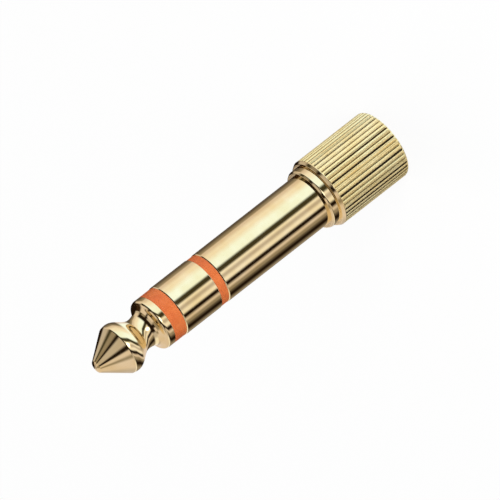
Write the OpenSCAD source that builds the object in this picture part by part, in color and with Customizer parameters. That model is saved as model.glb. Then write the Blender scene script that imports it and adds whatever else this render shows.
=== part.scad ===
// Stereo adapter, from a 6.35 mm jack plug to a 3.5 mm jack socket, turned in brass and gilded.
// It stands on its socket end: z = 0 is the rear rim of the grip, and +Z runs along the axis to the tip.
// A 3.5 mm plug enters from below, through the mouth bush, and goes 14 mm deep.

/* [Plug] */
// Diameter of the ring and sleeve contacts
plug_d = 6.35; // [6.3:0.05:6.5]
// Length of the plug, from the face of the flange to the end of the nose
plug_len = 31.75; // [30.5:0.05:33]
// Length of the tip contact
tip_len = 8.95; // [8.6:0.05:9.4]
// Width of the insulating collar behind the tip
tip_collar_w = 1.65; // [1.2:0.05:2]
// How far the insulating collar behind the tip lies below the contacts
tip_collar_step = 0.06; // [0.02:0.005:0.15]
// Width of the ring contact
ring_w = 5.2; // [4.5:0.1:5.6]
// Width of the insulating collar behind the ring
ring_collar_w = 1.05; // [0.8:0.05:1.4]
// How far the insulating collar behind the ring lies below the contacts
ring_collar_step = 0.055; // [0.02:0.005:0.15]
// Bevel that breaks the contacts' edges beside the insulating collars
edge_break = 0.05; // [0.02:0.01:0.1]

/* [Tip contact] */
// Diameter of the flat on the nose
nose_flat_d = 0.4; // [0.2:0.05:1]
// Diameter where the rounded nose meets the cone
nose_d = 1.52; // [1.2:0.02:1.8]
// Height of the rounded nose
nose_h = 0.16; // [0.12:0.01:0.4]
// Diameter of the wide end of the cone
cone_d = 5.88; // [5.2:0.02:5.9]
// Distance from the nose to the wide end of the cone
cone_len = 3.2; // [2.6:0.05:3.3]
// Diameter over the rim of the head
rim_d = 6.1; // [5.9:0.02:6.2]
// Distance from the nose to the widest line of the rim
rim_pos = 3.85; // [3.4:0.05:4.1]
// How far the rounding between rim and cone turns in before the cone starts, in degrees
rim_turn = 72; // [60:1:90]
// Diameter of the waist, where a socket's spring locks the plug
waist_d = 3.84; // [3.2:0.02:4.2]
// Distance from the nose to the waist
waist_pos = 6.3; // [5.8:0.05:6.6]
// Diameter of the land behind the waist
land_d = 6.23; // [6:0.01:6.3]
// Width of the land
land_w = 1.12; // [0.8:0.01:1.3]
// Width of the rounded front edge of the land, along the radius
land_round = 0.3; // [0.1:0.02:0.4]
// Length of the rounded front edge of the land, along the axis
land_round_len = 0.5; // [0.1:0.05:0.6]

/* [Flange and grip] */
// Diameter of the flange behind the plug
flange_d = 7.44; // [7.3:0.02:7.6]
// Width of the flange
flange_w = 1.15; // [0.9:0.05:1.5]
// Rounding of the front edge of the flange
flange_round = 0.2; // [0.06:0.02:0.5]
// Diameter of the grip over its ridges
grip_d = 8.45; // [8.3:0.05:9]
// Length of the grip
grip_len = 9.85; // [9.6:0.05:12]
// Width of the bevel at the front of the grip, along the radius
grip_bevel = 0.2; // [0.1:0.02:0.4]
// Length of the bevel at the front of the grip, along the axis
grip_bevel_len = 0.32; // [0.1:0.02:0.6]
// Rounding of the rear edge of the grip
rear_round = 0.4; // [0.1:0.05:0.5]
// Number of grooves in the straight knurl
knurl_count = 44; // [36:1:48]
// Depth of a groove
knurl_depth = 0.18; // [0.1:0.01:0.22]
// Width of a groove at the surface
knurl_width = 0.34; // [0.2:0.01:0.36]
// Length of the knurl, from the rear rim
knurl_len = 9.4; // [8:0.1:9.5]
// Bore of the grip
grip_bore = 6.8; // [6.7:0.05:7]
// Thickness of the rear lip, which holds the contact carrier in
lip_w = 0.9; // [0.6:0.05:1.2]
// Opening in the rear lip
lip_bore = 5.6; // [5.2:0.05:5.8]

/* [Plug insides] */
// Wall of the sleeve contact round the socket
sleeve_wall = 0.425; // [0.35:0.005:0.45]
// Length of the sleeve's spigot inside the grip
spigot_len = 3.35; // [2.5:0.05:4]
// Free height between the roots of the springs and the end of the rod
root_room = 1.2; // [0.6:0.1:2]
// Diameter of the rod behind the tip
rod_d = 1.6; // [1.4:0.05:1.8]
// Wall of the insulating tube over the rod
tip_tube_wall = 0.46; // [0.35:0.01:0.5]
// Wall of the ring contact's tail
ring_tail_wall = 0.53; // [0.45:0.01:0.56]
// Wall of the insulating tube over the ring contact's tail
ring_tube_wall = 0.38; // [0.3:0.01:0.42]
// Thickness of the insulating washer inside the sleeve
ring_washer_t = 0.5; // [0.3:0.05:0.8]
// Thickness of the insulating washer between the two terminals
tip_washer_t = 0.6; // [0.4:0.05:0.9]
// Thickness of the terminals
terminal_t = 0.3; // [0.2:0.05:0.4]
// Width of a terminal's tongue
tongue_w = 1.2; // [0.8:0.05:1.4]
// Height of the riveted ends of the rod and of the ring contact's tail
rivet_h = 0.3; // [0.2:0.05:0.4]
// How far a riveted end is spread beyond its own radius
rivet_spread = 0.2; // [0.1:0.01:0.2]

/* [Socket] */
// Bore of the mouth bush
socket_bore = 3.6; // [3.55:0.01:3.7]
// Length of the mouth bush
bush_len = 3; // [2:0.1:3.1]
// Wall of the mouth bush
bush_wall = 0.35; // [0.25:0.01:0.4]
// How far the head of the mouth bush stands out round its wall
bush_head = 0.15; // [0.08:0.01:0.2]
// Thickness of the head of the mouth bush
bush_head_t = 0.4; // [0.2:0.05:0.6]
// Lead-in bevel at the mouth of the bush
bush_bevel = 0.2; // [0.1:0.02:0.3]
// How far the socket's face lies inside the rear rim
face_recess = 0.12; // [0.05:0.01:0.3]
// Depth of the socket, from the rear rim to the floor
socket_depth = 14.4; // [14.2:0.05:15]
// Bore of the contact carrier
carrier_bore = 4; // [3.9:0.02:4.2]
// Thickness of the carrier's floor, which holds the roots of the springs
floor_t = 0.6; // [0.4:0.05:0.9]

/* [Contact springs] */
// Thickness of the spring strip
leaf_t = 0.2; // [0.15:0.01:0.22]
// Width of the spring strip
leaf_w = 1.2; // [0.8:0.05:1.3]
// Distance between a spring's crest and the axis
crest_r = 1.45; // [1.35:0.01:1.6]
// Height of the crest that meets the tip of a 3.5 mm plug
tip_crest_z = 12.3; // [11.8:0.05:12.6]
// Height of the crest that meets its ring
ring_crest_z = 9.6; // [9.2:0.05:10]
// Height of the crest that meets its sleeve
ground_crest_z = 7.4; // [6.6:0.05:7.6]
// Distance between the axis and the middle of a rooted strip
root_r = 2.05; // [2.02:0.01:2.1]
// Distance between the axis and the middle of the ground spring's root
ground_root_r = 2.35; // [2.3:0.01:2.5]
// Height of the ground spring's root
ground_root_z = 3.7; // [3.65:0.05:4]
// Length of the lead-in lip beyond a crest
lip_len = 0.9; // [0.6:0.05:1]
// How far the lead-in lip turns out
lip_out = 0.45; // [0.3:0.05:0.5]
// Length of the root of the tip and ring springs behind the floor
root_len = 2.3; // [1.8:0.1:2.6]
// Length over which a root and its terminal lie side by side
lap_len = 0.8; // [0.5:0.05:1.2]
// Radius of the bends in the strips
bend_r = 0.3; // [0.2:0.02:0.35]

/* [Fits] */
// Radial gap between the pieces that are pressed or slipped together
fit_gap = 0.02; // [0.01:0.005:0.03]
// Gap between a spring and the sides of its slot
slot_gap = 0.15; // [0.1:0.01:0.2]
// Gap between a resting spring and the piece that it bears on
contact_gap = 0.05; // [0.03:0.01:0.08]

/* [Hidden] */

// Circles are smooth enough for a preview, and round pieces are true solids of revolution
$fn = 96;
// Steps in a rounded edge or a bend
arc_steps = 6;
// Steps in the long curve of the waist
curve_steps = 16;
// How far a cutter runs past the face that it cuts
over = 0.5;

gold = "#D9C27A";
orange = "#E06A2C";
black = "#1C1C1E";
fibre = "#8C5A3C";
bronze = "#B8863C";

// Heights of the pieces of the plug, from the flange up to the nose
face_z = grip_len + flange_w;
end_z = face_z + plug_len;
tip_z = end_z - tip_len;
tip_collar_z = tip_z - tip_collar_w;
ring_z = tip_collar_z - ring_w;
sleeve_end_z = ring_z - ring_collar_w;

// Where the springs turn, and where their roots and the terminals' tongues end
carrier_end_z = socket_depth + floor_t;
pivot_z = socket_depth + floor_t / 2;
root_top_z = pivot_z + root_len;
tongue_end_z = root_top_z - lap_len;

// Heights of the stack riveted inside the sleeve, from the end of the rod up to the sleeve's step
rod_end_z = root_top_z + root_room;
tip_terminal_z = rod_end_z + rivet_h;
tip_washer_z = tip_terminal_z + terminal_t;
ring_tail_z = tip_washer_z + tip_washer_t;
ring_terminal_z = ring_tail_z + rivet_h;
ring_washer_z = ring_terminal_z + terminal_t;
step_z = ring_washer_z + ring_washer_t;

// Radii of the pieces of the plug, from the rod out to the sleeve
plug_r = plug_d / 2;
rod_r = rod_d / 2;
tip_tube_in = rod_r + fit_gap;
tip_tube_out = tip_tube_in + tip_tube_wall;
ring_bore = tip_tube_out + fit_gap;
ring_tail_r = ring_bore + ring_tail_wall;
ring_tube_in = ring_tail_r + fit_gap;
ring_tube_out = ring_tube_in + ring_tube_wall;
neck_bore = ring_tube_out + fit_gap;
sleeve_bore = plug_r - sleeve_wall;
terminal_rim = 0.55;
washer_rim = 0.2;

// Radii and heights of the grip and of the contact carrier in it
grip_r = grip_d / 2;
grip_bore_r = grip_bore / 2;
lip_bore_r = lip_bore / 2;
spigot_z = grip_len - spigot_len;
carrier_head_r = grip_bore_r - fit_gap;
carrier_nose_r = lip_bore_r - fit_gap;
carrier_body_r = sleeve_bore - fit_gap;
carrier_bore_r = carrier_bore / 2;
socket_r = socket_bore / 2;
bush_r = socket_r + bush_wall;
bush_head_r = bush_r + bush_head;
bush_end_z = face_recess + bush_len;

// Radii of the terminals' tongues, of the springs' crests and of the ground spring's tail, and the slots
tongue_r = root_r + leaf_t / 2 + contact_gap + terminal_t / 2;
crest_mid_r = crest_r + leaf_t / 2;
ground_tail_r = sqrt(pow(grip_bore_r - contact_gap, 2) - pow(leaf_w / 2, 2));
slot_w = leaf_w + 2 * slot_gap;
ground_slot_z = ground_root_z - leaf_t / 2 - slot_gap;

// Points of an elliptical arc round a centre, from one angle to another
function arc(centre, radii, from, to, steps = arc_steps) = [
    for (i = [0:steps])
        let (a = from + (to - from) * i / steps)
            centre + [radii.x * cos(a), radii.y * sin(a)]
];

function unit(v) = v / norm(v);

// A path with each inner corner rounded by a quadratic curve that starts `reach` away from it
function rounded(path, reach) = concat(
    [path[0]],
    [
        for (i = [1:len(path) - 2])
            let (
                corner = path[i],
                start = corner + reach * unit(path[i - 1] - corner),
                end = corner + reach * unit(path[i + 1] - corner)
            )
                for (k = [0:arc_steps])
                    let (t = k / arc_steps)
                        (1 - t) * (1 - t) * start + 2 * t * (1 - t) * corner + t * t * end
    ],
    [path[len(path) - 1]]
);

// A spring's path from its root, over the crest, to the end of the lead-in lip. The crest's corner lies
// further in than the crest itself, by what the bend takes off it
function spring_path(root, pivot, crest_z, way) =
    let (
        nominal = [crest_mid_r, crest_z],
        lip = [crest_mid_r + lip_out, crest_z + way * lip_len],
        bend_cut = bend_r / 4 * norm(unit(pivot - nominal) + unit(lip - nominal))
    )
        rounded([root, pivot, nominal - [bend_cut, 0], lip], bend_r);

// One side of a strip of the given thickness that follows a path
function strip_side(path, shift) = [
    for (i = [0:len(path) - 1])
        let (along = unit(path[min(i + 1, len(path) - 1)] - path[max(i - 1, 0)]))
            path[i] + shift * [-along.y, along.x]
];

function reversed(list) = [for (i = [len(list) - 1:-1:0]) list[i]];

function strip_outline(path, thickness) =
    concat(strip_side(path, thickness / 2), reversed(strip_side(path, -thickness / 2)));

// The half axes of the rounding between rim and cone, of which only the first rim_turn degrees are there
rim_round = [
    (rim_d - cone_d) / 2 / (1 - cos(rim_turn)),
    (rim_pos - cone_len) / sin(rim_turn)
];

// The tip contact's outline, as [radius, distance from the nose]
function head_outline() = concat(
    arc([nose_flat_d / 2, nose_h], [(nose_d - nose_flat_d) / 2, nose_h], -90, 0),
    arc([rim_d / 2 - rim_round.x, rim_pos], rim_round, -rim_turn, 0),
    [
        for (i = [1:curve_steps])
            let (a = 180 * i / curve_steps)
                [
                    (rim_d + waist_d + (rim_d - waist_d) * cos(a)) / 4,
                    rim_pos + (waist_pos - rim_pos) * i / curve_steps
                ]
    ],
    arc(
        [land_d / 2 - land_round, waist_pos],
        [(land_d - waist_d) / 2 - land_round, tip_len - land_w - waist_pos],
        180, 90, curve_steps
    ),
    arc(
        [land_d / 2 - land_round, tip_len - land_w + land_round_len],
        [land_round, land_round_len],
        90 / arc_steps - 90, 0, arc_steps - 1
    ),
    [
        [land_d / 2, tip_len - edge_break],
        [land_d / 2 - edge_break, tip_len]
    ]
);

// A plain tube between two heights
module tube(inner, outer, from, to) {
    translate([0, 0, from])
        difference() {
            cylinder(r = outer, h = to - from);
            translate([0, 0, -over]) cylinder(r = inner, h = to - from + 2 * over);
        }
}

// The spread end of a riveted rod or tube: widest at the top, where it grips the terminal
module rivet(radius, from) {
    translate([0, 0, from]) cylinder(r1 = radius, r2 = radius + rivet_spread, h = rivet_h);
}

// A flat strip bent along a path in the plane of the axis, given as [radius, height]
module bent_strip(path, thickness, width) {
    rotate([90, 0, 0])
        linear_extrude(height = width, center = true)
            polygon(strip_outline(path, thickness));
}

// Turned head with the long rod that carries the tip's signal to the socket
module tip_pin() {
    color(gold) {
        translate([0, 0, end_z])
            mirror([0, 0, 1])
                rotate_extrude()
                    polygon(concat([[0, 0]], head_outline(), [[0, tip_len]]));
        translate([0, 0, rod_end_z]) cylinder(r = rod_r, h = tip_z - rod_end_z + over);
        rivet(rod_r, rod_end_z);
    }
}

module tip_insulator() {
    color(orange) tube(tip_tube_in, plug_r - tip_collar_step, tip_collar_z, tip_z);
}

module tip_tube() {
    color(fibre) tube(tip_tube_in, tip_tube_out, ring_tail_z, tip_collar_z);
}

// Ring contact with the thin tail that is riveted over its terminal
module ring_contact() {
    color(gold)
        difference() {
            union() {
                rotate_extrude()
                    polygon([
                        [0, ring_z],
                        [plug_r - edge_break, ring_z],
                        [plug_r, ring_z + edge_break],
                        [plug_r, tip_collar_z - edge_break],
                        [plug_r - edge_break, tip_collar_z],
                        [0, tip_collar_z]
                    ]);
                translate([0, 0, ring_tail_z])
                    cylinder(r = ring_tail_r, h = ring_z - ring_tail_z + over);
                rivet(ring_tail_r, ring_tail_z);
            }
            translate([0, 0, ring_tail_z - over])
                cylinder(r = ring_bore, h = tip_collar_z - ring_tail_z + 2 * over);
        }
}

module ring_insulator() {
    color(orange) tube(ring_tube_in, plug_r - ring_collar_step, sleeve_end_z, ring_z);
}

module ring_tube() {
    color(fibre) tube(ring_tube_in, ring_tube_out, step_z, sleeve_end_z);
}

// Sleeve contact: barrel, flange with a rounded front edge, and the spigot pressed into the grip
module sleeve() {
    flange_r = flange_d / 2;
    color(gold)
        rotate_extrude()
            polygon(concat(
                [
                    [sleeve_bore, spigot_z],
                    [grip_bore_r - fit_gap, spigot_z],
                    [grip_bore_r - fit_gap, grip_len],
                    [flange_r, grip_len]
                ],
                arc([flange_r - flange_round, face_z - flange_round], [flange_round, flange_round], 0, 90),
                [
                    [plug_r, face_z],
                    [plug_r, sleeve_end_z - edge_break],
                    [plug_r - edge_break, sleeve_end_z],
                    [neck_bore, sleeve_end_z],
                    [neck_bore, step_z],
                    [sleeve_bore, step_z]
                ]
            ));
}

module ring_washer() {
    color(fibre) tube(ring_tube_in, carrier_body_r, ring_washer_z, step_z);
}

// A riveted ring with a tongue bent down to the root of its spring
module terminal(inner, from) {
    mid_z = from + terminal_t / 2;
    difference() {
        union() {
            translate([0, 0, from]) cylinder(r = inner + terminal_rim, h = terminal_t);
            bent_strip(
                rounded(
                    [[inner, mid_z], [tongue_r, mid_z], [tongue_r, tongue_end_z]],
                    terminal_t
                ),
                terminal_t, tongue_w
            );
        }
        translate([0, 0, from - over]) cylinder(r = inner, h = terminal_t + 2 * over);
    }
}

module ring_terminal() {
    color(bronze) rotate([0, 0, 180]) terminal(ring_tube_in, ring_terminal_z);
}

module tip_washer() {
    color(fibre) tube(tip_tube_in, ring_tail_r + washer_rim, tip_washer_z, ring_tail_z);
}

module tip_terminal() {
    color(bronze) terminal(tip_tube_in, tip_terminal_z);
}

// A cutter for a slot in the carrier, open from one radius to another
module slot(from_r, to_r, from_z, to_z) {
    translate([from_r, -slot_w / 2, from_z]) cube([to_r - from_r, slot_w, to_z - from_z]);
}

// The long slot of a spring rooted in the floor, and its window through the floor
module floor_slots(crest_z) {
    slot(crest_r, grip_r, crest_z - lip_len - 2 * slot_gap, socket_depth);
    slot(
        root_r - leaf_t / 2 - slot_gap, root_r + leaf_t / 2 + slot_gap,
        socket_depth - over, carrier_end_z + over
    );
}

// Moulded carrier: nose in the rear lip, head in the grip, and body inside the sleeve
module contact_carrier() {
    color(black)
        difference() {
            rotate_extrude()
                polygon([
                    [0, face_recess],
                    [carrier_nose_r, face_recess],
                    [carrier_nose_r, lip_w],
                    [carrier_head_r, lip_w],
                    [carrier_head_r, spigot_z],
                    [carrier_body_r, spigot_z],
                    [carrier_body_r, carrier_end_z],
                    [0, carrier_end_z]
                ]);
            translate([0, 0, face_recess - over])
                cylinder(r = bush_head_r + fit_gap, h = bush_head_t + over);
            translate([0, 0, face_recess - over])
                cylinder(r = bush_r + fit_gap, h = bush_len + over);
            translate([0, 0, bush_end_z - over])
                cylinder(r = carrier_bore_r, h = socket_depth - bush_end_z + over);
            floor_slots(tip_crest_z);
            rotate([0, 0, 180]) floor_slots(ring_crest_z);
            rotate([0, 0, 90])
                slot(crest_r, grip_r, ground_slot_z, ground_crest_z + lip_len + 2 * slot_gap);
        }
}

// Turned bush that lines the mouth of the socket
module mouth_bush() {
    color(gold)
        rotate_extrude()
            polygon([
                [socket_r + bush_bevel, face_recess],
                [bush_head_r, face_recess],
                [bush_head_r, face_recess + bush_head_t],
                [bush_r, face_recess + bush_head_t],
                [bush_r, bush_end_z],
                [socket_r, bush_end_z],
                [socket_r, face_recess + bush_bevel]
            ]);
}

// A spring rooted in the floor: root, straight blade, crest and lead-in lip
module floor_spring(crest_z) {
    bent_strip(
        spring_path([root_r, root_top_z], [root_r, pivot_z], crest_z, -1),
        leaf_t, leaf_w
    );
}

module tip_spring() {
    color(bronze) floor_spring(tip_crest_z);
}

module ring_spring() {
    color(bronze) rotate([0, 0, 180]) floor_spring(ring_crest_z);
}

// Ground spring: its root turns out to bear on the bore of the grip
module ground_spring() {
    color(bronze)
        rotate([0, 0, 90])
            bent_strip(
                spring_path(
                    [ground_tail_r, ground_root_z], [ground_root_r, ground_root_z],
                    ground_crest_z, 1
                ),
                leaf_t, leaf_w
            );
}

// One groove of the knurl: a vee along the axis, open at the surface and at the rear rim
module knurl_groove() {
    slope = knurl_width / 2 / knurl_depth;
    half_w = slope * (knurl_depth + over);
    translate([0, 0, -over])
        linear_extrude(height = knurl_len + over)
            polygon([[grip_r - knurl_depth, 0], [grip_r + over, half_w], [grip_r + over, -half_w]]);
}

// Knurled shell with a bevel in front and a lip behind
module grip() {
    color(gold)
        difference() {
            rotate_extrude()
                polygon(concat(
                    [[lip_bore_r, lip_w], [lip_bore_r, 0]],
                    arc([grip_r - rear_round, rear_round], [rear_round, rear_round], -90, 0),
                    [
                        [grip_r, grip_len - grip_bevel_len],
                        [grip_r - grip_bevel, grip_len],
                        [grip_bore_r, grip_len],
                        [grip_bore_r, lip_w]
                    ]
                ));
            difference() {
                for (i = [0:knurl_count - 1])
                    rotate([0, 0, i * 360 / knurl_count]) knurl_groove();
                // The grooves run out to nothing just behind the bevel
                translate([0, 0, knurl_len - knurl_depth])
                    cylinder(r1 = grip_r - knurl_depth, r2 = grip_r + over, h = knurl_depth + over);
            }
        }
}

tip_pin();
tip_insulator();
tip_tube();
ring_contact();
ring_insulator();
ring_tube();
sleeve();
ring_washer();
ring_terminal();
tip_washer();
tip_terminal();
contact_carrier();
mouth_bush();
tip_spring();
ring_spring();
ground_spring();
grip();
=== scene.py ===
"""Dresses a gilded stereo jack adapter: turned contacts, orange collars, knurled grip and black socket."""

import logging
import math
from dataclasses import dataclass
from enum import Enum
from typing import Any, Sequence

import bmesh
import bpy
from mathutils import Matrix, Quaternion, Vector


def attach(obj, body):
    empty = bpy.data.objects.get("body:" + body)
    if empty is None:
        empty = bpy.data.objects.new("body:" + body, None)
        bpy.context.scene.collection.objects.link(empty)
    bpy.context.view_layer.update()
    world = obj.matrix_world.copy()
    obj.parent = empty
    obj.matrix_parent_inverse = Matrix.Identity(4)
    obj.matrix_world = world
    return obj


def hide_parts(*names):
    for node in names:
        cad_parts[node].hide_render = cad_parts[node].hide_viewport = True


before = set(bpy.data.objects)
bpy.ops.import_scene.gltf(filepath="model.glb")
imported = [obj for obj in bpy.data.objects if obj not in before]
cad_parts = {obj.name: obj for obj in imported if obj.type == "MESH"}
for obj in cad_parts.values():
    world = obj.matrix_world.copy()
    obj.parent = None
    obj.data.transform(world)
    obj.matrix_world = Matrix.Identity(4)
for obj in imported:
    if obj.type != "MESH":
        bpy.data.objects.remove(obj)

MM = 0.001
# Mesh attributes that place the painted shade in the knurl's grooves
SHADE_DEPTH_NAME = "groove_shade_depth"
SHADE_AMOUNT_NAME = "groove_shade_amount"
WHITE = "#FFFFFF"
# Faces that meet at a larger angle keep a sharp edge, in degrees
SHARP_ANGLE = 24
# A point nearer to the axis than this lies on it, in millimetres
ON_AXIS = 1e-6
# Length of the straight piece beside each rounding, in millimetres
SUPPORT = 0.02
# Numbers of the Mix node's two inputs and its output, which have the same names for numbers and colours
MIX_SOCKETS = {"FLOAT": (2, 3, 0), "RGBA": (6, 7, 2)}
Outline = list[tuple[float, float]]
Socket = bpy.types.NodeSocket
log = logging.getLogger("adapter")


class Body(Enum):
    """Bodies of the frame that a new piece can ride on."""

    ADAPTER = "adapter"


class Slot(Enum):
    """Material slots of the record."""

    GOLD = "gilded_brass"
    COLLAR = "orange_nylon"


def linear(colour: str, strength: float = 1.0) -> tuple[float, float, float, float]:
    """Turns an sRGB hex value into a linear colour, by the curve of the sRGB standard.

    Args:
        colour: Six hex digits after a hash.
        strength: Factor on the linear value.

    Returns:
        Red, green, blue and an alpha of 1.
    """
    parts = [int(colour[i : i + 2], 16) / 255 for i in (1, 3, 5)]
    flat = [p / 12.92 if p <= 0.04045 else ((p + 0.055) / 1.055) ** 2.4 for p in parts]
    return (flat[0] * strength, flat[1] * strength, flat[2] * strength, 1.0)


@dataclass(frozen=True)
class Wiring:
    """A node tree, with the steps that the finishes, the knurl and the studio share.

    A value of a step is a number, a vector, a colour or an output socket.

    Attributes:
        tree: The tree that gets the nodes.
    """

    tree: bpy.types.NodeTree

    def node(self, kind: str, inputs: dict[str | int, Any] | None = None, **settings: Any) -> bpy.types.Node:
        """Adds a node with its settings, values and links.

        Args:
            kind: Blender's name of the node type.
            inputs: A value for each input, by name or by number.
            settings: The node's own properties.

        Returns:
            The new node.
        """
        made = self.tree.nodes.new(kind)
        for name, value in settings.items():
            setattr(made, name, value)
        for key, value in (inputs or {}).items():
            if isinstance(value, Socket):
                self.tree.links.new(value, made.inputs[key])
            else:
                made.inputs[key].default_value = value
        return made

    def first(self, kind: str, inputs: dict[str | int, Any] | None = None, **settings: Any) -> Socket:
        """Adds a node as node() does, and returns its first output."""
        return self.node(kind, inputs, **settings).outputs[0]

    def maths(self, operation: str, *values: Any) -> Socket:
        """Calculates a number from one to three numbers."""
        return self.first("ShaderNodeMath", dict(enumerate(values)), operation=operation)

    def vector(self, operation: str, *values: Any) -> Socket:
        """Calculates from one or two vectors: a length or a product is a number, the rest are vectors."""
        made = self.node("ShaderNodeVectorMath", dict(enumerate(values)), operation=operation)
        return made.outputs["Value" if operation in ("LENGTH", "DOT_PRODUCT") else "Vector"]

    def span(
        self,
        value: Any,
        source: Sequence[float],
        target: Sequence[float] = (0.0, 1.0),
        smooth: bool = False,
    ) -> Socket:
        """Carries a number over from one range to another.

        Args:
            value: The number.
            source: Both ends of its range.
            target: What the two ends become; beyond them it is held there.
            smooth: Whether it starts and ends gently.

        Returns:
            The new number.
        """
        ends = dict(zip(("From Min", "From Max", "To Min", "To Max"), (*source, *target)))
        way = "SMOOTHSTEP" if smooth else "LINEAR"
        return self.first("ShaderNodeMapRange", {"Value": value, **ends}, interpolation_type=way)

    def noise(
        self, place: Any, size_mm: float, detail: float, roughness: float = 0.5, distortion: float = 0.0
    ) -> Socket:
        """Adds a noise.

        Args:
            place: Where to read it.
            size_mm: Size of its largest patches, in millimetres.
            detail: How many finer layers it has.
            roughness: How strong the finer layers are.
            distortion: How far it is stirred.

        Returns:
            A number round one half.
        """
        inputs = {"Vector": place, "Scale": 1 / (size_mm * MM), "Detail": detail}
        inputs |= {"Roughness": roughness, "Distortion": distortion}
        return self.first("ShaderNodeTexNoise", inputs)

    def tone(self, value: Any, stops: Sequence[tuple[float, str]]) -> Socket:
        """Adds a colour ramp.

        Args:
            value: Place on the ramp, from 0 to 1.
            stops: Position and sRGB hex value of each stop, in order. A ramp holds 32 at most.

        Returns:
            The colour.
        """
        made = self.node("ShaderNodeValToRGB", {"Fac": value})
        elements = made.color_ramp.elements
        while len(elements) > 1:
            elements.remove(elements[-1])
        for i, (position, colour) in enumerate(stops):
            stop = elements[0] if i == 0 else elements.new(position)
            stop.position = position
            stop.color = linear(colour)
        return made.outputs["Color"]

    def bump(self, height: Any, depth_mm: float) -> Socket:
        """Turns a height from 0 to 1 into a normal, for a relief with a depth in millimetres."""
        inputs = {"Strength": 1.0, "Distance": depth_mm * MM, "Height": height}
        return self.first("ShaderNodeBump", inputs)

    def mix(self, share: Any, first: Any, second: Any, kind: str = "RGBA") -> Socket:
        """Mixes two colours or two numbers.

        Args:
            share: How much of the second there is, from 0 to 1.
            first: The first.
            second: The second.
            kind: RGBA for colours, FLOAT for numbers.

        Returns:
            The mixture.
        """
        one, two, result = MIX_SOCKETS[kind]
        made = self.node("ShaderNodeMix", {0: share, one: first, two: second}, data_type=kind)
        return made.outputs[result]

    def blend(self, share: Any, first: Socket, second: Socket) -> Socket:
        """Mixes two shaders."""
        return self.first("ShaderNodeMixShader", {0: share, 1: first, 2: second})


@dataclass(frozen=True)
class Finish:
    """What every finish has: a name, and one material that is made when it is first asked for."""

    name: str

    def material(self) -> bpy.types.Material:
        """Looks the finish's material up, and makes it the first time.

        Returns:
            The material.
        """
        found = bpy.data.materials.get(self.name)
        if found is None:
            found = bpy.data.materials.new(self.name)
            found.use_nodes = True
            found.node_tree.nodes.clear()
            nodes = Wiring(found.node_tree)
            place = nodes.node("ShaderNodeTexCoord").outputs["Object"]
            shader = nodes.first("ShaderNodeBsdfPrincipled", self.look(nodes, place))
            nodes.node("ShaderNodeOutputMaterial", {"Surface": shader})
        return found

    def look(self, nodes: Wiring, place: Socket) -> dict[str, Any]:
        """Works out the inputs of the Principled shader; each finish has its own."""
        raise NotImplementedError


@dataclass(frozen=True)
class GildedBrass(Finish):
    """Turned brass, polished and then plated with a thin layer of pale gold.

    To the eye it is a soft mirror of champagne colour. The feed marks of the turning tool blur it a little
    along the axis, and the plating varies in tone and gloss by a few percent over 2 to 3 mm.
    """

    name: str = "gilded_brass_polished"
    pale: str = "#F8E8BE"
    deep: str = "#EFD9A3"
    gloss: tuple[float, float] = (0.05, 0.09)
    cloud_mm: float = 2.5
    # Real feed marks are about 0.06 mm apart; these are drawn about four times as coarse, so that they show
    mark_mm: float = 0.25
    mark_depth_mm: float = 0.0006

    def look(self, nodes: Wiring, place: Socket) -> dict[str, Any]:
        """Works out the shader's inputs.

        Args:
            nodes: The material's tree.
            place: Position on the piece.

        Returns:
            The inputs of the Principled shader.
        """
        clouds = nodes.noise(place, self.cloud_mm, detail=3.0, roughness=0.55)
        tone = nodes.tone(clouds, [(0.3, self.deep), (0.7, self.pale)])
        # The marks run round the axis, so they depend on the height and on the distance from the axis alone
        split = nodes.node("ShaderNodeSeparateXYZ", {"Vector": place}).outputs
        flat = nodes.first("ShaderNodeCombineXYZ", {"X": split["X"], "Y": split["Y"]})
        away = nodes.vector("LENGTH", flat)
        ring = nodes.first("ShaderNodeCombineXYZ", {"X": away, "Z": split["Z"]})
        marks = nodes.noise(ring, self.mark_mm, detail=2.0, roughness=0.6)
        gloss = nodes.span(nodes.maths("ADD", clouds, marks), (0.7, 1.3), self.gloss)
        coat = self.coat(nodes, tone, gloss)
        return {**coat, "Normal": nodes.bump(marks, self.mark_depth_mm)}

    def coat(self, nodes: Wiring, colour: Socket, gloss: Socket) -> dict[str, Any]:
        """Gives the shader the plating's colour, its metal and its roughness."""
        return {"Base Color": colour, "Metallic": 1.0, "Roughness": gloss}


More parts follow.
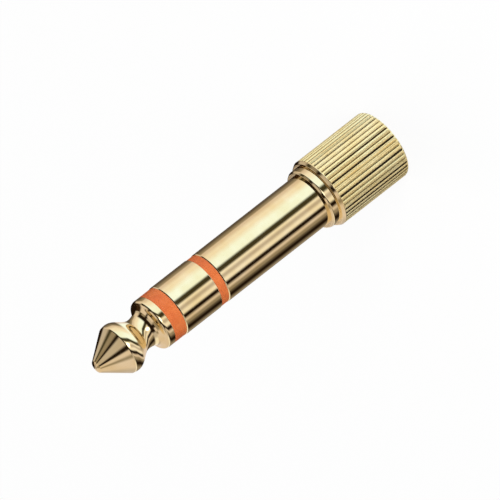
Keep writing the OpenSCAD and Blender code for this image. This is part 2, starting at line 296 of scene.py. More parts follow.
@dataclass(frozen=True)
class KnurledBrass(GildedBrass):
    """Gilded brass as the knurling wheel leaves it.

    To the eye the crowns are bright and satin, and each groove is a dark line: painted shade, a dark brown
    laid in by the groove's depth, stands in for the shade that falls into it.
    """

    name: str = "gilded_brass_knurled"
    pale: str = "#FFF2BC"
    deep: str = "#F9E09C"
    gloss: tuple[float, float] = (0.2, 0.3)
    mark_mm: float = 0.4
    mark_depth_mm: float = 0.0005
    # Painted shade in the grooves: a dark brown that stands in for the shade that falls into them
    groove_shade: str = "#2A1804"
    groove_shade_roughness: float = 0.6
    # Share of the groove's depth at which the painted shade starts, and at which it hides the gold
    groove_shade_range: tuple[float, float] = (0.4, 0.8)
    # How metallic the crowns are; the rest of their light is plain, as from a satin face
    crown_metal: float = 0.65

    def coat(self, nodes: Wiring, colour: Socket, gloss: Socket) -> dict[str, Any]:
        """Lays painted shade into the grooves, by the depth and the amount that the mesh carries.

        Args:
            nodes: The material's tree.
            colour: The plating's colour.
            gloss: Its roughness.

        Returns:
            The shader's colour, metal and roughness.
        """
        depth = nodes.node("ShaderNodeAttribute", attribute_name=SHADE_DEPTH_NAME).outputs["Fac"]
        groove_shade = nodes.node("ShaderNodeAttribute", attribute_name=SHADE_AMOUNT_NAME).outputs["Fac"]
        # Painted shade: its dark tone and its roughness take over deeper in each groove
        share = nodes.span(nodes.maths("MULTIPLY", depth, groove_shade), self.groove_shade_range, smooth=True)
        return {
            "Base Color": nodes.mix(share, colour, linear(self.groove_shade)),
            "Metallic": self.crown_metal,
            "Roughness": nodes.mix(share, gloss, self.groove_shade_roughness, "FLOAT"),
        }


@dataclass(frozen=True)
class Moulded(Finish):
    """Moulded nylon: an even colour with a slight marbling, and the fine grain that the mould leaves."""

    light: str = "#E07430"
    dark: str = "#D46222"
    roughness: float = 0.42
    marble_mm: float = 1.5
    # Spark-eroded moulds leave grains of 0.02 to 0.05 mm; these are drawn at 0.12 mm, so that they show
    grain_mm: float = 0.12
    grain_depth_mm: float = 0.002
    refraction: float = 1.53

    def look(self, nodes: Wiring, place: Socket) -> dict[str, Any]:
        """Works out the shader's inputs.

        Args:
            nodes: The material's tree.
            place: Position on the piece.

        Returns:
            The inputs of the Principled shader.
        """
        marble = nodes.noise(place, self.marble_mm, detail=4.0, distortion=0.4)
        grain = nodes.noise(place, self.grain_mm, detail=2.0)
        return {
            "Base Color": nodes.tone(marble, [(0.3, self.dark), (0.7, self.light)]),
            "Roughness": self.roughness,
            "IOR": self.refraction,
            "Normal": nodes.bump(grain, self.grain_depth_mm),
        }


@dataclass(frozen=True)
class Fibre(Finish):
    """Pressed fibre: brown and matt, with short darker fibres about 0.3 mm long."""

    light: str = "#96684A"
    dark: str = "#6B452E"
    roughness: float = 0.8
    # The fibres are 0.3 mm long along the axis and a third of that wide
    fibre_mm: float = 0.3
    lay: tuple[float, float, float] = (3.0, 3.0, 1.0)
    relief_mm: float = 0.004

    def look(self, nodes: Wiring, place: Socket) -> dict[str, Any]:
        """Works out the shader's inputs.

        Args:
            nodes: The material's tree.
            place: Position on the piece.

        Returns:
            The inputs of the Principled shader.
        """
        laid = nodes.first("ShaderNodeMapping", {"Vector": place, "Scale": self.lay})
        fibres = nodes.noise(laid, self.fibre_mm, detail=5.0)
        return {
            "Base Color": nodes.tone(fibres, [(0.35, self.dark), (0.65, self.light)]),
            "Roughness": self.roughness,
            "Normal": nodes.bump(fibres, self.relief_mm),
        }


@dataclass(frozen=True)
class SpringBronze(Finish):
    """Phosphor bronze strip: reddish gold with a satin sheen, drawn out by rolling marks along the strip."""

    light: str = "#D9A468"
    dark: str = "#BF8548"
    gloss: tuple[float, float] = (0.22, 0.4)
    # The rolling marks are 0.05 mm wide and fifty times as long
    mark_mm: float = 0.05
    draw: tuple[float, float, float] = (1.0, 1.0, 0.02)

    def look(self, nodes: Wiring, place: Socket) -> dict[str, Any]:
        """Works out the shader's inputs.

        Args:
            nodes: The material's tree.
            place: Position on the piece.

        Returns:
            The inputs of the Principled shader.
        """
        drawn = nodes.first("ShaderNodeMapping", {"Vector": place, "Scale": self.draw})
        marks = nodes.noise(drawn, self.mark_mm, detail=3.0)
        return {
            "Base Color": nodes.tone(marks, [(0.3, self.dark), (0.7, self.light)]),
            "Metallic": 1.0,
            "Roughness": nodes.span(marks, (0.0, 1.0), self.gloss),
        }


POLISHED_GOLD = GildedBrass()
KNURLED_GOLD = KnurledBrass()
ORANGE_NYLON = Moulded("orange_nylon_moulded")
BLACK_NYLON = Moulded("black_nylon_moulded", "#242427", "#161618", 0.5)
FIBRE = Fibre("insulating_fibre")
BRONZE = SpringBronze("phosphor_bronze_strip")


@dataclass(frozen=True)
class Corner:
    """A corner of a turned outline, in millimetres.

    Attributes:
        radius: Distance from the axis.
        height: Height above the rear rim.
        fillet: Radius of its rounding, or 0 for a sharp corner.
    """

    radius: float
    height: float
    fillet: float = 0.0


def soften(corners: Sequence[Corner], closed: bool, steps: int = 6) -> Outline:
    """Rounds the corners of an outline.

    A short straight piece is kept on both sides of each rounding, so that the shading of the long faces stays
    true to their own direction.

    Args:
        corners: The outline's corners, in order.
        closed: Whether the last corner joins the first.
        steps: Faces in one rounding.

    Returns:
        Radius and height of each point.
    """
    points: Outline = []
    count = len(corners)
    for i, corner in enumerate(corners):
        here = Vector((corner.radius, corner.height))
        if corner.fillet == 0 or (not closed and i in (0, count - 1)):
            points.append((here.x, here.y))
            continue
        before, after = corners[i - 1], corners[(i + 1) % count]
        back = (Vector((before.radius, before.height)) - here).normalized()
        on = (Vector((after.radius, after.height)) - here).normalized()
        half = back.angle(on) / 2
        reach = corner.fillet / math.tan(half)
        centre = here + (back + on).normalized() * (corner.fillet / math.sin(half))
        start, end = here + back * reach, here + on * reach
        points.append(tuple(start + back * SUPPORT))
        for k in range(steps + 1):
            spoke = (start - centre).slerp(end - centre, k / steps)
            points.append(tuple(centre + spoke * corner.fillet))
        points.append(tuple(end + on * SUPPORT))
    return points


def ellipse(
    centre: tuple[float, float], radii: tuple[float, float], start: float, end: float, steps: int
) -> Outline:
    """Points of an elliptical arc.

    Args:
        centre: Radius and height of the centre.
        radii: Half axes across and along the axis.
        start: First angle, in degrees.
        end: Last angle, in degrees.
        steps: Faces in the arc.

    Returns:
        Radius and height of each point.
    """
    angles = [math.radians(start + (end - start) * i / steps) for i in range(steps + 1)]
    return [(centre[0] + radii[0] * math.cos(a), centre[1] + radii[1] * math.sin(a)) for a in angles]


def smooth(mesh: bpy.types.Mesh) -> None:
    """Shades a mesh smoothly between its sharp edges."""
    mesh.shade_smooth()
    mesh.set_sharp_from_angle(angle=math.radians(SHARP_ANGLE))


def add_object(name: str, data: bpy.types.ID) -> bpy.types.Object:
    """Adds an object to the scene.

    Args:
        name: Its name.
        data: Its mesh, lamp or camera.

    Returns:
        The new object, at the origin.
    """
    made = bpy.data.objects.new(name, data)
    bpy.context.scene.collection.objects.link(made)
    return made


def turn(name: str, outline: Outline, closed: bool, segments: int = 192) -> bpy.types.Object:
    """Turns an outline about the axis to a closed mesh.

    Args:
        name: The new object's name.
        outline: Radius and height of each point, in millimetres. An open outline starts and ends on the axis.
        closed: Whether the last point joins the first.
        segments: Faces round the axis.

    Returns:
        An object at the origin, in metres.
    """
    shape = bmesh.new()
    circle = [2 * math.pi * k / segments for k in range(segments)]
    rings: list[list[bmesh.types.BMVert]] = []
    for radius, height in outline:
        spots = [(radius * math.cos(a) * MM, radius * math.sin(a) * MM, height * MM) for a in circle]
        if radius < ON_AXIS:
            spots = [(0.0, 0.0, height * MM)]
        rings.append([shape.verts.new(spot) for spot in spots])
    pairs = list(zip(rings, rings[1:] + rings[:1]))
    for low, high in pairs if closed else pairs[:-1]:
        for k in range(segments):
            j = (k + 1) % segments
            if len(low) == 1:
                shape.faces.new((low[0], high[j], high[k]))
            elif len(high) == 1:
                shape.faces.new((low[k], low[j], high[0]))
            else:
                shape.faces.new((low[k], low[j], high[j], high[k]))
    bmesh.ops.recalc_face_normals(shape, faces=shape.faces)
    mesh = bpy.data.meshes.new(name)
    shape.to_mesh(mesh)
    shape.free()
    smooth(mesh)
    return add_object(name, mesh)


def dress(piece: bpy.types.Object, finish: Finish) -> None:
    """Gives a piece one finish all over, and reports it.

    Args:
        piece: The piece.
        finish: Its finish.
    """
    piece.data.materials.clear()
    piece.data.materials.append(finish.material())
    log.info("%s: %d faces, %s", piece.name, len(piece.data.polygons), finish.name)


def finish_piece(piece: bpy.types.Object, finish: Finish, slot: Slot, *nodes: str) -> None:
    """Dresses a new piece and puts it in its place in the frame.

    Args:
        piece: The piece, in place.
        finish: Its finish.
        slot: The record's slot that it takes its finish from; not used.
        nodes: The nodes that it stands for.
    """
    dress(piece, finish)
    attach(piece, Body.ADAPTER.value)
    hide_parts(*nodes)


@dataclass(frozen=True)
class Levels:
    """Heights at which the turned pieces of the plug meet, and the sizes that they share, in millimetres."""

    flange_back: float = 9.85
    flange_front: float = 11.0
    sleeve_end: float = 25.9
    ring_start: float = 26.95
    ring_end: float = 32.15
    head_start: float = 33.8
    nose: float = 42.75
    plug: float = 3.175
    edge: float = 0.05
    # The lead that is turned on the front edge of a contact, across and along the axis, and its fillets
    lead: tuple[float, float] = (0.055, 0.11)
    lead_fillets: tuple[float, float] = (0.03, 0.02)
    rivet_height: float = 0.3
    rivet_spread: float = 0.2

    def front_edge(self, height: float) -> list[Corner]:
        """Corners of the lead on a contact's front edge.

        Args:
            height: Height at which the contact ends.

        Returns:
            Both corners, from the rear to the front.
        """
        across, along = self.lead
        return [
            Corner(self.plug, height - along, self.lead_fillets[0]),
            Corner(self.plug - across, height, self.lead_fillets[1]),
        ]

    def rivet(self, radius: float, end: float) -> list[Corner]:
        """Returns the corners of a riveted end, which is spread over its terminal."""
        top = end + self.rivet_height
        return [Corner(radius, end), Corner(radius + self.rivet_spread, top), Corner(radius, top)]


@dataclass
class TipContact:
    """Turned head with its waist and land, on the rod that is riveted inside the sleeve."""

    levels: Levels
    land: float = 3.115
    land_width: float = 1.12
    waist: float = 1.92
    waist_from_nose: float = 6.3
    neck_steps: int = 40
    land_round: tuple[float, float] = (0.3, 0.5)
    rim: float = 3.05
    rim_from_nose: float = 3.85
    rim_round: tuple[float, float] = (0.159, 0.683)
    rim_turn: float = 72.0
    cone_support: float = 0.03
    nose: float = 0.76
    nose_flat: float = 0.2
    # Share of the flat at which one more ring keeps its shading level
    nose_ring: float = 0.9
    nose_height: float = 0.16
    nose_turn: float = 12.0
    rod: float = 0.8
    rod_end: float = 18.2

    def outline(self) -> Outline:
        """Draws the outline from the rod's end up to the nose.

        Returns:
            Radius and height of each point.
        """
        levels = self.levels
        cove_end = levels.head_start + self.land_width
        waist_z = levels.nose - self.waist_from_nose
        rim_z = levels.nose - self.rim_from_nose
        stem = [
            Corner(0, self.rod_end),
            *levels.rivet(self.rod, self.rod_end),
            Corner(self.rod, levels.head_start),
            Corner(self.land, levels.head_start, levels.edge),
            Corner(self.land, cove_end - self.land_round[1] - SUPPORT),
        ]
        points = soften(stem, closed=False)
        lip = self.land - self.land_round[0]
        points += ellipse((lip, cove_end - self.land_round[1]), self.land_round, 0, 90, steps=16)
        cove = (lip - self.waist, waist_z - cove_end)
        points += ellipse((lip, waist_z), cove, 270, 180, steps=28)[1:]
        middle, swing = (self.rim + self.waist) / 2, (self.rim - self.waist) / 2
        for i in range(1, self.neck_steps + 1):
            radius = middle + swing * math.cos(math.pi * (1 - i / self.neck_steps))
            points.append((radius, waist_z + (rim_z - waist_z) * i / self.neck_steps))
        shoulder = self.rim - self.rim_round[0]
        points += ellipse((shoulder, rim_z), self.rim_round, 0, self.rim_turn, steps=14)[1:]
        nose_round = (self.nose - self.nose_flat, self.nose_height)
        nose_centre = (self.nose_flat, levels.nose - self.nose_height)
        nose = ellipse(nose_centre, nose_round, self.nose_turn, 90, steps=10)
        # A short piece at both ends of the cone keeps its shading straight
        low, high = Vector(points[-1]), Vector(nose[0])
        along = (high - low).normalized() * self.cone_support
        points += [tuple(low + along), tuple(high - along), *nose]
        points += [(self.nose_flat * self.nose_ring, levels.nose), (0.0, levels.nose)]
        return points

    def build(self) -> None:
        """Makes the head and its rod."""
        piece = turn("head", self.outline(), closed=False)
        finish_piece(piece, POLISHED_GOLD, Slot.GOLD, "tip_pin")


@dataclass
class RingContact:
    """Ring contact, in one piece with the thin tail that is riveted inside the sleeve."""

    levels: Levels
    bore: float = 1.3
    tail: float = 1.83
    tail_end: float = 19.4

    def build(self) -> None:
        """Makes the ring and its tail."""
        levels = self.levels
        corners = [
            Corner(self.bore, self.tail_end),
            *levels.rivet(self.tail, self.tail_end),
            Corner(self.tail, levels.ring_start),
            Corner(levels.plug, levels.ring_start, levels.edge),
            *levels.front_edge(levels.ring_end),
            Corner(self.bore, levels.ring_end),
        ]
        piece = turn("ring", soften(corners, closed=True), closed=True)
        finish_piece(piece, POLISHED_GOLD, Slot.GOLD, "ring_contact")


@dataclass
class SleeveContact:
    """Sleeve contact: the barrel, the flange in front of the grip and the spigot pressed into the grip."""

    levels: Levels
    bore: float = 2.75
    neck_bore: float = 2.25
    step: float = 20.5
    spigot: float = 3.38
    spigot_end: float = 6.5
    flange: float = 3.72
    flange_bevel: tuple[float, float] = (0.15, 0.25)
    flange_edge: float = 0.04
    flange_fillet: float = 0.28

    def build(self) -> None:
        """Makes the sleeve."""
        levels = self.levels
        across, along = self.flange_bevel
        corners = [
            Corner(self.bore, self.spigot_end),
            Corner(self.spigot, self.spigot_end),
            Corner(self.spigot, levels.flange_back),
            Corner(self.flange, levels.flange_back, self.flange_edge),
            Corner(self.flange, levels.flange_front - along, self.flange_fillet),
            Corner(self.flange - across, levels.flange_front, self.flange_edge),
            Corner(levels.plug, levels.flange_front),
            *levels.front_edge(levels.sleeve_end),
            Corner(self.neck_bore, levels.sleeve_end),
            Corner(self.neck_bore, self.step),
            Corner(self.bore, self.step),
        ]
        piece = turn("sleeve_barrel", soften(corners, closed=True, steps=8), closed=True)
        finish_piece(piece, POLISHED_GOLD, Slot.GOLD, "sleeve")


@dataclass
class Collar:
    """Orange insulating collar between two contacts.

    Attributes:
        name: Name of the new piece.
        node: The node that it stands for.
        inner: Radius of its bore.
        outer: Radius of its rim.
        low: Height of its rear face.
        high: Height of its front face.
        edge: Radius of its rounded edges.
    """

    name: str
    node: str
    inner: float
    outer: float
    low: float
    high: float
    edge: float = 0.015

    def build(self) -> None:
        """Makes the collar."""
        corners = [
            Corner(self.inner, self.low),
            Corner(self.outer, self.low, self.edge),
            Corner(self.outer, self.high, self.edge),
            Corner(self.inner, self.high),
        ]
        piece = turn(self.name, soften(corners, closed=True, steps=3), closed=True)
        finish_piece(piece, ORANGE_NYLON, Slot.COLLAR, self.node)


@dataclass
class MouthBush:
    """Turned bush that lines the mouth of the 3.5 mm socket."""

    bore: float = 1.8
    wall: float = 2.15
    head: float = 2.3
    face: float = 0.12
    head_top: float = 0.52
    end: float = 3.12
    bevel: float = 0.2
    bevel_edge: float = 0.03
    head_edge: float = 0.05

    def build(self) -> None:
        """Makes the bush."""
        corners = [
            Corner(self.bore + self.bevel, self.face, self.bevel_edge),
            Corner(self.head, self.face, self.head_edge),
            Corner(self.head, self.head_top),
            Corner(self.wall, self.head_top),
            Corner(self.wall, self.end),
            Corner(self.bore, self.end),
            Corner(self.bore, self.face + self.bevel, self.bevel_edge),
        ]
        piece = turn("socket_bush", soften(corners, closed=True), closed=True)
        finish_piece(piece, POLISHED_GOLD, Slot.GOLD, "mouth_bush")


@dataclass
class KnurledGrip:
    """Knurled shell: one sector is drawn, and Geometry Nodes repeat it round the axis."""

    levels: Levels
    grooves: int = 44
    radius: float = 4.224
    depth: float = 0.18
    width: float = 0.32
    crown: float = 0.025
    # How rounded the bottom of a groove is, as a share of its half width
    worn: float = 0.08
    # One wall of each groove gets more painted shade than the other: its depth counts as this many times as
    # deep on each
    shade_walls: tuple[float, float] = (2.15, 1.0)
    knurl_end: float = 9.47
    run_out_steps: int = 6
    rear_round: float = 0.4
    bevel: tuple[float, float] = (0.2, 0.32)
    bevel_edge: float = 0.05
    bore: float = 3.4
    # A face whose middle is less than this outside the bore belongs to it
    bore_margin: float = 0.1
    lip: float = 0.9
    lip_bore: float = 2.8
    columns: tuple[float, ...] = (0.0, 0.02, 0.06, 0.1, 0.14, 0.17, 0.19, 0.22, 0.26)
    join: float = 0.001
    # The painted shade differs at random from groove to groove: the least share of it that a groove has, and
    # the seed
    least_groove_shade: float = 0.35
    groove_shade_seed: int = 3861

    def pitch(self) -> float:
        """Returns the angle of one sector."""
        return 2 * math.pi / self.grooves

    def groove(self, across: float) -> float:
        """Radius of the knurled skin at a distance across from the middle of a groove.

        Args:
            across: Distance along the surface, in millimetres.

        Returns:
            The radius: a vee with a worn bottom, and a ridge with a crown.
        """
        half = self.width / 2
        if across < half:
            share = across / half
            rise = math.sqrt(share * share + self.worn * self.worn) - self.worn * share
            return self.radius - self.crown - (self.depth - self.crown) * (1 - rise)
        ridge_half = self.radius * self.pitch() / 2 - half
        share = min((across - half) / ridge_half, 1.0)
        return self.radius - self.crown * (1 - share) ** 2

    def loop(self) -> list[tuple[float, float, bool]]:
        """Draws the shell's section.

        Returns:
            Radius and height of each point, and whether the knurl can cut it there.
        """
        back, steps = self.levels.flange_back, self.run_out_steps
        rear_centre = (self.radius - self.rear_round, self.rear_round)
        rear = ellipse(rear_centre, (self.rear_round, self.rear_round), 270, 360, steps=8)
        runs = [self.knurl_end - self.depth * (1 - k / steps) for k in range(steps + 1)]
        wide, long = self.bevel
        start, end = back - long, self.radius - wide
        # The first and the last corner only give the bevel's neighbours their direction, and are cut off
        beyond = 0.1
        bevel = [
            Corner(self.radius, start - beyond),
            Corner(self.radius, start, self.bevel_edge),
            Corner(end, back, self.bevel_edge),
            Corner(end - beyond, back),
        ]
        front = soften(bevel, closed=False, steps=3)[1:-1]
        return [
            (self.lip_bore, 0.0, False),
            (self.lip_bore + SUPPORT, 0.0, False),
            (rear[0][0] - SUPPORT, 0.0, False),
            *((r, z, True) for r, z in rear),
            (self.radius, self.rear_round + SUPPORT, True),
            *((self.radius, z, True) for z in runs),
            *((r, z, False) for r, z in front),
            (self.bore + SUPPORT, back, False),
            (self.bore, back, False),
            (self.bore, self.lip, False),
            (self.lip_bore, self.lip, False),
        ]

    def sector(self) -> bpy.types.Object:
        """Makes one sector of the shell, with its groove in the middle.

        Returns:
            The sector. Its points carry their depth in the groove, counted deeper on one wall, as an
            attribute that sets the painted shade.
        """
        right = [*self.columns, self.radius * self.pitch() / 2]
        across = [-offset for offset in reversed(right[1:])] + right
        points: list[tuple[float, float, float]] = []
        shares: list[float] = []
        for radius, height, cut in self.loop():
            for offset in across:
                skin = radius
                if cut:
                    floor = self.radius - self.depth + max(0.0, height - self.knurl_end + self.depth)
                    skin = min(radius, max(self.groove(abs(offset)), floor))
                angle = offset / self.radius - math.pi / 2
                points.append((skin * math.cos(angle) * MM, skin * math.sin(angle) * MM, height * MM))
                # Share of painted shade at each point: its depth in the groove, with more on one wall
                wall = 1.0 if offset == 0 else self.shade_walls[int(offset > 0)]
                shares.append((radius - skin) / self.depth * wall)
        wide, rows = len(across), len(points) // len(across)
        faces = []
        for i in range(rows):
            low, high = i * wide, (i + 1) % rows * wide
            faces += [(low + j, low + j + 1, high + j + 1, high + j) for j in range(wide - 1)]
        mesh = bpy.data.meshes.new("grip_sector")
        mesh.from_pydata(points, [], faces)
        mesh.attributes.new(SHADE_DEPTH_NAME, "FLOAT", "POINT").data.foreach_set("value", shares)
        return add_object("grip_shell", mesh)

    def tree(self) -> bpy.types.NodeTree:
        """Builds the tree that repeats a sector round the axis.

        Returns:
            The tree. Its inputs are the sector, their number, the joining distance, the least share of
            painted shade in a groove, its seed and the finish.
        """
        tree = bpy.data.node_groups.new("repeat_round_axis", "GeometryNodeTree")
        for name, kind in (
            ("Sector", "Geometry"),
            ("Sectors", "Int"),
            ("Join Distance", "Float"),
            ("Least Groove Shade", "Float"),
            ("Groove Shade Seed", "Int"),
            ("Finish", "Material"),
        ):
            tree.interface.new_socket(name, in_out="INPUT", socket_type=f"NodeSocket{kind}")
        tree.interface.new_socket("Shell", in_out="OUTPUT", socket_type="NodeSocketGeometry")
        nodes = Wiring(tree)
        given = nodes.node("NodeGroupInput").outputs
        step = nodes.maths("DIVIDE", 2 * math.pi, given["Sectors"])
        angle = nodes.maths("MULTIPLY", nodes.first("GeometryNodeInputIndex"), step)
        turned = nodes.first("FunctionNodeAxisAngleToRotation", {"Axis": (0.0, 0.0, 1.0), "Angle": angle})
        seats = nodes.first("GeometryNodeMeshLine", {"Count": given["Sectors"], "Offset": (0.0, 0.0, 0.0)})
        copies = nodes.first(
            "GeometryNodeInstanceOnPoints",
            {"Points": seats, "Instance": given["Sector"], "Rotation": turned},
        )
        # Each groove gets a random share of the painted shade
        # Inputs 2 and 3 and output 1 of this node are the ones for numbers
        groove_shade = nodes.node(
            "FunctionNodeRandomValue",
            {2: given["Least Groove Shade"], 3: 1.0, "Seed": given["Groove Shade Seed"]},
            data_type="FLOAT",
        )
        shade_stored = nodes.first(
            "GeometryNodeStoreNamedAttribute",
            {"Geometry": copies, "Name": SHADE_AMOUNT_NAME, "Value": groove_shade.outputs[1]},
            data_type="FLOAT",
            domain="INSTANCE",
        )
        real = nodes.first("GeometryNodeRealizeInstances", {"Geometry": shade_stored})
        joined = nodes.first(
            "GeometryNodeMergeByDistance", {"Geometry": real, "Distance": given["Join Distance"]}
        )
        dressed = nodes.first("GeometryNodeSetMaterial", {"Geometry": joined, "Material": given["Finish"]})
        nodes.node("NodeGroupOutput", {"Shell": dressed})
        return tree

    def build(self) -> None:
        """Makes the grip: repeats the sector, and keeps the result as a plain mesh."""
        piece = self.sector()
        tree = self.tree()
        modifier = piece.modifiers.new("knurl", "NODES")
        modifier.node_group = tree
        values = {
            "Sectors": self.grooves,
            "Join Distance": self.join * MM,
            "Least Groove Shade": self.least_groove_shade,
            "Groove Shade Seed": self.groove_shade_seed,
            "Finish": KNURLED_GOLD.material(),
        }
        for item in tree.interface.items_tree:
            if item.name in values:
                modifier[item.identifier] = values[item.name]
        graph = bpy.context.evaluated_depsgraph_get()
        mesh = bpy.data.meshes.new_from_object(piece.evaluated_get(graph))
        piece.modifiers.remove(modifier)
        piece.data = mesh
        smooth(mesh)
        finish_piece(piece, KNURLED_GOLD, Slot.GOLD, "grip")
        # The bevel, both ends and the bore are turned after the knurling, so they are polished
        mesh.materials.append(POLISHED_GOLD.material())
        for face in mesh.polygons:
            middle = face.center / MM
            end = middle.z > self.knurl_end or middle.z < self.join
            face.material_index = int(end or middle.xy.length < self.bore + self.bore_margin)


@dataclass
class SocketInsides:
    """The carrier, the springs, the terminals and the insulators, which keep their own meshes."""

    black: tuple[str, ...] = ("contact_carrier",)
    bronze: tuple[str, ...] = ("tip_spring", "ring_spring", "ground_spring", "tip_terminal", "ring_terminal")
    fibre: tuple[str, ...] = ("tip_tube", "ring_tube", "tip_washer", "ring_washer")

    def build(self) -> None:
        """Dresses the nodes that show inside the socket or are hidden in the plug."""
        for finish, names in ((BLACK_NYLON, self.black), (BRONZE, self.bronze), (FIBRE, self.fibre)):
            for name in names:
                dress(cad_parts[name], finish)


def direction(bearing: float, elevation: float) -> Vector:
    """Direction from the object to a place round it.

    Args:
        bearing: Bearing from the camera's side, positive towards -X, in degrees.
        elevation: Height above the horizon, in degrees.

    Returns:
        A vector of length 1.
    """
    turned, raised = math.radians(bearing), math.radians(elevation)
    level = math.cos(raised)
    return Vector((-math.sin(turned) * level, -math.cos(turned) * level, math.sin(raised)))


class Tone(Enum):
    """Tones of the cards and softboxes, as sRGB hex values."""

    SKY = "#DAEAF8"
    CREAM = "#D6D2D0"
    LINEN = "#C0B4B0"
    STONE = "#A8A09E"
    CLAY = "#80766A"
    UMBER = "#504840"
    OLIVE = "#363222"
    BARK = "#2E1E10"
    SOOT = "#1A1008"


@dataclass(frozen=True)
class Card:
    """A card or softbox of the studio, placed by the faces that mirror it at the photograph's angle.

    Attributes:
        left: Bearing of the first face that shows it, in degrees from the camera's side, positive towards -X.
        right: Bearing of the last one.
        tone: Its tone.
    """

    left: float
    right: float
    tone: Tone


@dataclass(frozen=True)
class Row:
    """A row of cards, which shows in the faces between two tilts.

    Attributes:
        start: Tilt of the faces, in degrees above the level ones, at which the row starts to show.
        full: Tilt at which it has taken over from the row below.
        cards: Its cards, from left to right.
        lean: How far the cards move to the left for each degree of tilt, in degrees.
    """

    start: float
    full: float
    cards: tuple[Card, ...]
    lean: float = 0.0


@dataclass
class Studio:
    """Plain pale studio: a white surround, a floor, soft lamps, and the cards that the gold mirrors."""

    rows: tuple[Row, ...] = (
        # Below: the floor in front, seen in the back of the head
        Row(start=-90, full=-90, cards=(
            Card(-180, -60, Tone.LINEN), Card(-45, 8, Tone.SKY), Card(14, 30, Tone.CLAY),
            Card(45, 180, Tone.LINEN),
        )),
        # Level: the bands along the barrel
        Row(start=-32, full=-24, lean=0.7, cards=(
            Card(-180, -70, Tone.UMBER), Card(-60, -58, Tone.CLAY), Card(-54, -50, Tone.LINEN),
            Card(-41, -36, Tone.CREAM), Card(-24, -10.3, Tone.SKY), Card(-6.4, 0.7, Tone.OLIVE),
            Card(4.2, 5.7, Tone.CREAM), Card(10, 13, Tone.STONE), Card(18, 22, Tone.CREAM),
            Card(26, 31, Tone.SOOT), Card(36.2, 37.7, Tone.LINEN), Card(42.5, 46, Tone.CLAY),
            Card(50, 50.5, Tone.UMBER), Card(55.5, 61.5, Tone.SOOT), Card(74, 90, Tone.CLAY),
            Card(100, 180, Tone.STONE),
        )),
        # Above the bands: the dark edge of the tent, which draws a line along every turned edge
        Row(start=14, full=19, cards=(
            Card(-180, -77, Tone.SOOT), Card(-70, -56, Tone.LINEN), Card(-50, 22, Tone.SOOT),
            Card(28, 40, Tone.STONE), Card(50, 180, Tone.CREAM),
        )),
        # High: the roof of the tent and its struts, seen in the cone
        Row(start=27, full=30, cards=(
            Card(-180, -78, Tone.SOOT), Card(-72, -58, Tone.STONE), Card(-50, -46, Tone.OLIVE),
            Card(-41, -32, Tone.CLAY), Card(-27, -23, Tone.SOOT), Card(-18, -2, Tone.STONE),
            Card(4, 11, Tone.SOOT), Card(15, 22, Tone.LINEN), Card(28, 31, Tone.CLAY),
            Card(38, 60, Tone.LINEN), Card(75, 180, Tone.STONE),
        )),
        # Top: what lies behind the roof, seen in the cove and in the faces that look along the axis
        Row(start=36.2, full=40, cards=(
            Card(-180, -74, Tone.SOOT), Card(-70, -56, Tone.BARK), Card(-50, -32, Tone.LINEN),
            Card(-28, -26, Tone.SOOT), Card(-22, -5, Tone.LINEN), Card(0, 20, Tone.CLAY),
            Card(28, 180, Tone.LINEN),
        )),
    )
    card_strength: float = 1.5
    # Light of the surround on faces that mirror nothing
    plain_strength: float = 0.42
    # A round lamp, placed like the cards: the middle of its image and its radius, in degrees. Up to the
    # core's share of the radius it has its full strength
    spot_bearing: float = 4.0
    spot_tilt: float = 11.0
    spot_radius: float = 7.0
    spot_core: float = 0.6
    spot_strength: float = 1.8
    # Tilts of the faces between which the plain tone of the second mirror image gives way to the cards
    second_image_end: tuple[float, float] = (19.5, 21.5)
    paper: str = "#F4F4F4"
    # Share of the floor that looks white by itself, so that the rest keeps a soft shadow
    floor_glow: float = 0.88
    floor_drop_mm: float = 0.01
    # Half the side of the floor, the side of a lamp and its distance from the point it looks at, in metres
    floor_reach: float = 1.5
    lamp_side: float = 0.3
    lamp_distance: float = 0.5
    lamp_aim_mm: float = 20.0
    # The camera: the point in the middle of the picture and the picture's width there, in millimetres
    look_at: tuple[float, float, float] = (-0.22, 0.0, 20.09)
    frame_width: float = 54.35
    tilt: float = 22.0
    roll: float = -127.95
    lens: float = 1200.0
    sensor: float = 36.0
    clip_range: tuple[float, float] = (0.01, 10.0)

    def ramp(self, nodes: Wiring, bearing: Socket, tilt: Socket, row: Row) -> Socket:
        """Adds a colour ramp that holds a row of cards.

        Args:
            nodes: The world's tree.
            bearing: Bearing of the face that mirrors a place of the studio, in radians.
            tilt: That face's tilt, in radians.
            row: The row.

        Returns:
            The cards' colour.
        """
        leant = nodes.maths("MULTIPLY_ADD", tilt, row.lean, bearing)
        edges = [(edge, card.tone.value) for card in row.cards for edge in (card.left, card.right)]
        stops = [(edge / 360 + 0.5, colour) for edge, colour in edges]
        return nodes.tone(nodes.span(leant, (-math.pi, math.pi)), stops)

    def spot(self, nodes: Wiring, face: Socket, colour: Socket) -> Socket:
        """Adds the round lamp that shows as a white point where a turned edge starts to lean back.

        Args:
            nodes: The world's tree.
            face: Direction of the face that mirrors a place of the studio.
            colour: The cards' colour there.

        Returns:
            The colour with the lamp in it.
        """
        near = nodes.vector("DOT_PRODUCT", face, direction(self.spot_bearing, self.spot_tilt))
        radii = (self.spot_radius, self.spot_radius * self.spot_core)
        share = nodes.span(near, [math.cos(math.radians(r)) for r in radii], smooth=True)
        return nodes.mix(share, colour, linear(WHITE, self.spot_strength))

    def surround(self) -> None:
        """Makes the world: white to the eye, plain light on matt faces, cards in the gold."""
        world = bpy.data.worlds.new("studio")
        bpy.context.scene.world = world
        world.use_nodes = True
        world.node_tree.nodes.clear()
        nodes = Wiring(world.node_tree)
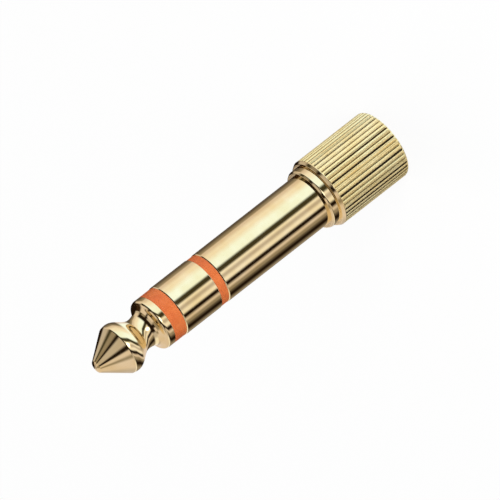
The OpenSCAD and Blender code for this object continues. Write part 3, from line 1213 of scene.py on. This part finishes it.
        # The sum of a direction and the camera's is square to the face that mirrors the one into the other
        way = nodes.node("ShaderNodeTexCoord").outputs["Generated"]
        face = nodes.vector("NORMALIZE", nodes.vector("ADD", way, direction(0, self.tilt)))
        split = nodes.node("ShaderNodeSeparateXYZ", {"Vector": face}).outputs
        left = nodes.maths("MULTIPLY", split["X"], -1.0)
        near = nodes.maths("MULTIPLY", split["Y"], -1.0)
        bearing = nodes.maths("ARCTAN2", left, near)
        tilt = nodes.maths("ARCSINE", split["Z"])
        colour = self.ramp(nodes, bearing, tilt, self.rows[0])
        for row in self.rows[1:]:
            taken_over = (math.radians(row.start), math.radians(row.full))
            share = nodes.span(tilt, taken_over, smooth=True)
            colour = nodes.mix(share, colour, self.ramp(nodes, bearing, tilt, row))
        colour = self.spot(nodes, face, colour)
        # A mirror image of a mirror image, with a glossy depth of 2, is too small to read, so below the roof
        # it is one plain tone
        path = nodes.node("ShaderNodeLightPath").outputs
        second = nodes.maths("GREATER_THAN", path["Glossy Depth"], 1.5)
        low = nodes.span(tilt, [math.radians(t) for t in self.second_image_end], (1.0, 0.0))
        cards = nodes.mix(nodes.maths("MULTIPLY", second, low), colour, linear(Tone.LINEN.value))
        mirrored, plain, white = (
            nodes.first("ShaderNodeBackground", {"Color": light, "Strength": strength})
            for light, strength in (
                (cards, self.card_strength),
                (linear(WHITE), self.plain_strength),
                (linear(WHITE), 1.0),
            )
        )
        lit = nodes.blend(path["Is Glossy Ray"], plain, mirrored)
        seen = nodes.maths("MAXIMUM", path["Is Camera Ray"], path["Is Transmission Ray"])
        nodes.node("ShaderNodeOutputWorld", {"Surface": nodes.blend(seen, lit, white)})

    def floor(self) -> None:
        """Makes the floor: white paper that keeps a soft shadow."""
        paper = bpy.data.materials.new("white_paper")
        paper.use_nodes = True
        paper.node_tree.nodes.clear()
        nodes = Wiring(paper.node_tree)
        matt = nodes.first("ShaderNodeBsdfDiffuse", {"Color": linear(self.paper)})
        glow = nodes.first("ShaderNodeEmission", {"Color": linear(WHITE), "Strength": 1.0})
        path = nodes.node("ShaderNodeLightPath").outputs
        seen = nodes.maths("MAXIMUM", path["Is Camera Ray"], path["Is Glossy Ray"])
        seen = nodes.maths("MAXIMUM", seen, path["Is Transmission Ray"])
        painted = nodes.blend(nodes.maths("MULTIPLY", seen, self.floor_glow), matt, glow)
        # From below the paper is clear, so that the socket's mouth can be looked into
        below = nodes.node("ShaderNodeNewGeometry").outputs["Backfacing"]
        clear = nodes.first("ShaderNodeBsdfTransparent")
        nodes.node("ShaderNodeOutputMaterial", {"Surface": nodes.blend(below, painted, clear)})
        reach, level = self.floor_reach, -self.floor_drop_mm * MM
        mesh = bpy.data.meshes.new("floor")
        mesh.from_pydata(
            [(x * reach, y * reach, level) for x, y in ((-1, -1), (1, -1), (1, 1), (-1, 1))],
            [],
            [(0, 1, 2, 3)],
        )
        mesh.materials.append(paper)
        made = add_object("floor", mesh)
        # The mirrored surround lies below the object too, so the floor leaves the reflections to it
        made.visible_glossy = False

    def lamp(self, name: str, bearing: float, elevation: float, watts: float) -> None:
        """Adds a soft square lamp that points at the object.

        Args:
            name: The lamp's name.
            bearing: Bearing from the camera's side, positive towards -X, in degrees.
            elevation: Height above the horizon, in degrees.
            watts: Its power.
        """
        data = bpy.data.lights.new(name, "AREA")
        data.shape = "SQUARE"
        data.size = self.lamp_side
        data.energy = watts
        made = add_object(name, data)
        away = direction(bearing, elevation)
        made.location = Vector((0, 0, self.lamp_aim_mm * MM)) + away * self.lamp_distance
        made.rotation_mode = "QUATERNION"
        made.rotation_quaternion = (-away).to_track_quat("-Z", "Y")
        made.visible_glossy = False

    def camera(self) -> None:
        """Sets the long lens at the photograph's angle."""
        data = bpy.data.cameras.new("camera")
        data.lens = self.lens
        data.sensor_width = self.sensor
        data.clip_start, data.clip_end = self.clip_range
        made = add_object("camera", data)
        back = direction(0, self.tilt)
        distance = self.frame_width * MM * self.lens / self.sensor
        made.location = Vector(self.look_at) * MM + back * distance
        made.rotation_mode = "QUATERNION"
        level = (-back).to_track_quat("-Z", "Y")
        made.rotation_quaternion = level @ Quaternion((0, 0, 1), math.radians(self.roll))
        bpy.context.scene.camera = made

    def build(self) -> None:
        """Sets up the whole studio."""
        bpy.context.scene.view_settings.view_transform = "Standard"
        self.surround()
        self.floor()
        self.lamp("key", bearing=0, elevation=45, watts=1.75)
        self.lamp("fill", bearing=-170, elevation=40, watts=0.8)
        self.camera()
        log.info("studio: %d cards", sum(len(row.cards) for row in self.rows))


def main() -> None:
    """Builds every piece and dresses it."""
    logging.basicConfig(level=logging.INFO, format="%(message)s")
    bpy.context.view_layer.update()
    levels = Levels()
    Studio().build()
    TipContact(levels).build()
    RingContact(levels).build()
    SleeveContact(levels).build()
    Collar(
        "tip_collar", "tip_insulator", inner=0.82, outer=3.115, low=levels.ring_end, high=levels.head_start
    ).build()
    Collar(
        "ring_collar", "ring_insulator", inner=1.85, outer=3.12, low=levels.sleeve_end, high=levels.ring_start
    ).build()
    KnurledGrip(levels).build()
    MouthBush().build()
    SocketInsides().build()


if __name__ == "__main__":
    main()
